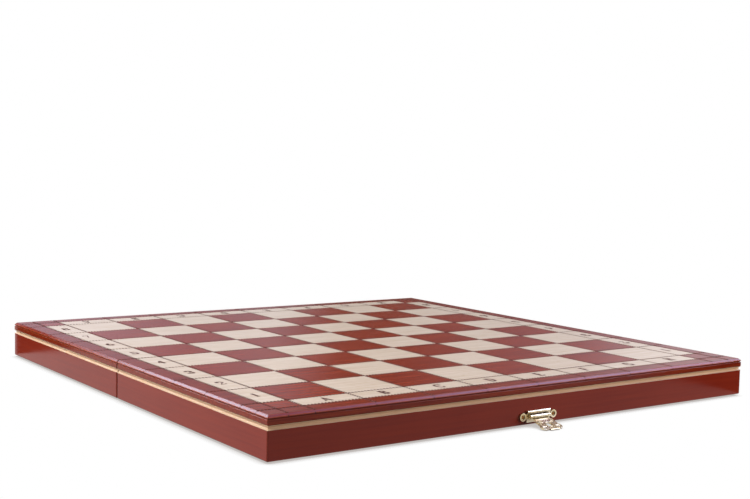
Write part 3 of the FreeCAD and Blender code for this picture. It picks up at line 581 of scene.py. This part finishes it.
burnt, tree, shader, place = start_finish("burnt_stamp_marks")
char_mm = 0.8
char = add_node(tree, "TexNoise", {"Vector": place, "Scale": 1000 / char_mm, "Detail": 3.0}).outputs[0]
tone = add_node(tree, "ValToRGB", {"Fac": char}, stops=((0.35, "#35130D"), (0.7, "#5E2A1C")))
tree.links.new(tone.outputs[0], shader.inputs["Base Color"])
shader.inputs["Roughness"].default_value = 0.75
shader.inputs["Specular IOR Level"].default_value = 0.25
band_middle_mm = (HALF_FIELD_MM + BAND_EDGE_MM) / 2
for tray in TRAYS:
    marks = bmesh.new()
    front = tray == "front"
    for i, letter in enumerate("ABCDEFGH"):
        across_mm = -HALF_FIELD_MM + (i + 0.5) * SQUARE_MM
        stamp(marks, letter, (across_mm, -band_middle_mm if front else band_middle_mm), not front)
    for i, numeral in enumerate("12345678"):
        along_mm = -HALF_FIELD_MM + (i + 0.5) * SQUARE_MM
        if (along_mm < 0) == front:
            stamp(marks, numeral, (-band_middle_mm, along_mm), False)
            stamp(marks, numeral, (band_middle_mm, along_mm), True)
    bmesh.ops.recalc_face_normals(marks, faces=marks.faces)
    for mark_face in marks.faces:
        if mark_face.normal.z < 0:
            mark_face.normal_flip()
    mark_mesh = bpy.data.meshes.new(f"{tray}_coordinates")
    marks.to_mesh(mark_mesh)
    marks.free()
    coordinates = bpy.data.objects.new(f"{tray}_coordinates", mark_mesh)
    scene.collection.objects.link(coordinates)
    mark_mesh.materials.append(burnt)
    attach(coordinates, f"{tray}_half")


# Fittings. Hinges, screws, latch and catch are pressed brass, bright plated and lacquered: pale champagne,
# with sharp bright reflections a little blurred by cloudy tarnish, and painted shade darkening the corners
# and the gaps between parts. The nails are older, browned brass.
def pressed_brass(name, tarnished, bright, roughest, smoothest):
    metal, tree, shader, place = start_finish(name)
    tarnish_mm, corner_mm, arris_mm = 9, 2, 0.2
    clouds = {"Vector": place, "Scale": 1000 / tarnish_mm, "Detail": 3.0}
    tarnish = add_node(tree, "TexNoise", clouds).outputs[0]
    tone = add_node(tree, "ValToRGB", {"Fac": tarnish}, stops=((0.3, tarnished), (0.65, bright))).outputs[0]
    # Painted shade: corners and gaps between parts are darkened by ambient occlusion
    openness = add_node(tree, "AmbientOcclusion", {"Distance": corner_mm / 1000}, samples=4).outputs["AO"]
    hollow_shade_range = {"Value": openness, "From Min": 0.8, "From Max": 0.35, "To Max": 0.95}
    corner_shade = add_node(tree, "MapRange", hollow_shade_range).outputs[0]
    tone_with_painted_shade = add_node(tree, "Mix", {0: corner_shade, 6: tone, 7: colour("#3A2A12")}, data_type="RGBA").outputs[2]
    tree.links.new(tone_with_painted_shade, shader.inputs["Base Color"])
    shader.inputs["Metallic"].default_value = 1.0
    dull = {"Value": tarnish, "From Min": 0.3, "From Max": 0.7, "To Min": roughest, "To Max": smoothest}
    tree.links.new(add_node(tree, "MapRange", dull).outputs[0], shader.inputs["Roughness"])
    soft_edge = add_node(tree, "Bevel", {"Radius": arris_mm / 1000}, samples=4)
    tree.links.new(soft_edge.outputs[0], shader.inputs["Normal"])
    return metal


brass = pressed_brass("bright_pressed_brass", "#C2AB7C", "#E6D9C0", 0.3, 0.15)
browned_brass = pressed_brass("browned_brass", "#6E431F", "#94642F", 0.45, 0.3)
for name in nodes:
    if name.endswith("_nails"):
        dress(nodes[name], browned_brass)
    elif "hinge" in name or "latch" in name or "catch" in name or name == "hasp":
        dress(nodes[name], brass)

# Hasp ornament. The hasp's face is pressed with a common leaf pattern: a bead round each lobe, a ring round
# the knob hole, and veins that spread from the ring into the lobes.
HASP_DROOP = math.radians(20)
PIN_MM = Vector((0, -239.65, 6.2))
FACE_DROP_MM = 0.75
HOLE_MM, RING_RADIUS_MM = 10.9, 3.0
# Each lobe's reach to the side, its middle's distance from the pin, its radius and the angles of its bead
LOBES_MM = ((9.3, 6.7, 4.1, (-75, 75)), (10.4, 14.0, 3.6, (-60, 80)))
RIB_WIDTH_MM, RIB_HEIGHT_MM, RIB_INSET_MM = 0.7, 0.28, 0.7
RIB_SIDES, RING_STEPS, BEAD_STEPS, VEIN_STEPS = 6, 36, 16, 6
VEIN_SPREADS = (-45, 0, 45)
VEIN_REACH, VEIN_ROOT_ACROSS, VEIN_ROOT_TO_HOLE = 0.55, 0.62, 0.25
hasp_down = Vector((0, -math.cos(HASP_DROOP), -math.sin(HASP_DROOP)))
hasp_out = Vector((0, -math.sin(HASP_DROOP), math.cos(HASP_DROOP)))


def press_rib(mesh, line):
    """Raise a half-round rib along a line of (across, down) places on the hasp's face."""
    rows = []
    for i, point in enumerate(line):
        ahead = Vector(line[min(i + 1, len(line) - 1)]) - Vector(line[max(i - 1, 0)])
        ahead.normalize()
        side = Vector((-ahead.y, ahead.x))
        row = []
        for step in range(RIB_SIDES + 1):
            angle = math.pi * step / RIB_SIDES
            spot = Vector(point) + side * (math.cos(angle) * RIB_WIDTH_MM / 2)
            height = math.sin(angle) * RIB_HEIGHT_MM - FACE_DROP_MM
            place = PIN_MM + Vector((spot.x, 0, 0)) + hasp_down * spot.y + hasp_out * height
            row.append(mesh.verts.new(place / 1000))
        rows.append(row)
    for first, second in zip(rows, rows[1:]):
        for i in range(RIB_SIDES):
            mesh.faces.new((first[i], first[i + 1], second[i + 1], second[i]))


ribs = bmesh.new()
turns = [2 * math.pi * i / RING_STEPS for i in range(RING_STEPS + 1)]
press_rib(ribs, [(RING_RADIUS_MM * math.cos(a), HOLE_MM + RING_RADIUS_MM * math.sin(a)) for a in turns])
for side in (-1, 1):
    for widest, down, radius, (start, stop) in LOBES_MM:
        across = widest - radius
        reach = radius - RIB_INSET_MM
        angles = [math.radians(start + (stop - start) * i / BEAD_STEPS) for i in range(BEAD_STEPS + 1)]
        bead = [(across + reach * math.cos(a), down + reach * math.sin(a)) for a in angles]
        press_rib(ribs, [(side * bead_across, bead_down) for bead_across, bead_down in bead])
        root = Vector((across * VEIN_ROOT_ACROSS, down + (HOLE_MM - down) * VEIN_ROOT_TO_HOLE))
        for spread in VEIN_SPREADS:
            way = math.radians(spread)
            length = VEIN_REACH * reach
            tip = Vector((across + length * math.cos(way), down + length * math.sin(way)))
            vein = [root.lerp(tip, i / VEIN_STEPS) for i in range(VEIN_STEPS + 1)]
            press_rib(ribs, [(side * p.x, p.y) for p in vein])
bmesh.ops.recalc_face_normals(ribs, faces=ribs.faces)
rib_mesh = bpy.data.meshes.new("hasp_ornament")
ribs.to_mesh(rib_mesh)
ribs.free()
rib_mesh.materials.append(brass)
for polygon in rib_mesh.polygons:
    polygon.use_smooth = True
ornament = bpy.data.objects.new("hasp_ornament", rib_mesh)
scene.collection.objects.link(ornament)
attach(ornament, "hasp")

# Linings. Dark green wool felt, cut to the inside of each half and glued flat under its panel.
# Felt is matted fibre: soft, without weave, mottled, with a little fuzz that catches the light. Its fibres
# are drawn coarse enough to show.
felt, tree, shader, place = start_finish("green_wool_felt")
fibre_mm, mottle_mm, fuzz_mm = 0.9, 12, 0.3
matting = {"Vector": place, "Scale": 1000 / fibre_mm, "Detail": 4.0, "Distortion": 1.5}
fibres = add_node(tree, "TexNoise", matting).outputs[0]
mottle = add_node(tree, "TexNoise", {"Vector": place, "Scale": 1000 / mottle_mm, "Detail": 3.0}).outputs[0]
both = add_node(tree, "Math", {0: fibres, 1: mottle}, operation="ADD").outputs[0]
blend = add_node(tree, "Math", {0: both, 1: 0.5}, operation="MULTIPLY").outputs[0]
tone = add_node(tree, "ValToRGB", {"Fac": blend}, stops=((0.38, "#153A26"), (0.64, "#2C5F41")))
tree.links.new(tone.outputs[0], shader.inputs["Base Color"])
relief = {"Height": fibres, "Distance": fuzz_mm / 1000, "Strength": 0.7}
tree.links.new(add_node(tree, "Bump", relief).outputs[0], shader.inputs["Normal"])
shader.inputs["Roughness"].default_value = 0.95
shader.inputs["Sheen Weight"].default_value = 0.3
FELT_STEP_M, SWELL_M, RIM_TUCK_M = 0.006, 0.00006, 0.0004
SHORT_WAVES, LONG_WAVES = (310, 270), (130, 170)
SHORT_WAVE_SHIFT, DEEPEST_SWELL = 1, 2


def felt_swell(x, y):
    """The unevenness of the glued felt, from two sets of waves in radians per metre, and never below 0."""
    short = math.sin(x * SHORT_WAVES[0]) * math.sin(y * SHORT_WAVES[1] + SHORT_WAVE_SHIFT)
    return short + math.sin(x * LONG_WAVES[0] + y * LONG_WAVES[1]) + DEEPEST_SWELL


for tray in TRAYS:
    low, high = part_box(f"{tray}_lining")
    size = high - low
    across, along = (max(2, round(s / FELT_STEP_M)) for s in (size.x, size.y))
    cloth = bmesh.new()
    layers = []
    for level in (low.z, high.z):
        grid = []
        for i in range(across + 1):
            column = []
            for j in range(along + 1):
                place = Vector((low.x + size.x * i / across, low.y + size.y * j / along, level))
                if level == low.z:
                    at_rim = min(i, j, across - i, along - j) == 0
                    place.z += SWELL_M * felt_swell(place.x, place.y) + (RIM_TUCK_M if at_rim else 0)
                column.append(cloth.verts.new(place))
            grid.append(column)
        layers.append(grid)
    for grid in layers:
        for i in range(across):
            for j in range(along):
                cloth.faces.new((grid[i][j], grid[i + 1][j], grid[i + 1][j + 1], grid[i][j + 1]))
    under, over = layers
    rim_places = [(i, 0) for i in range(across)] + [(across, j) for j in range(along)]
    rim_places += [(i, along) for i in range(across, 0, -1)] + [(0, j) for j in range(along, 0, -1)]
    for (a, b), (c, d) in zip(rim_places, rim_places[1:] + rim_places[:1]):
        cloth.faces.new((under[a][b], under[c][d], over[c][d], over[a][b]))
    bmesh.ops.recalc_face_normals(cloth, faces=cloth.faces)
    cloth_mesh = bpy.data.meshes.new(f"{tray}_felt")
    cloth.to_mesh(cloth_mesh)
    cloth.free()
    cloth_mesh.materials.append(felt)
    for polygon in cloth_mesh.polygons:
        polygon.use_smooth = True
    felt_sheet = bpy.data.objects.new(f"{tray}_felt", cloth_mesh)
    scene.collection.objects.link(felt_sheet)
    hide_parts(f"{tray}_lining")
    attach(felt_sheet, f"{tray}_half")
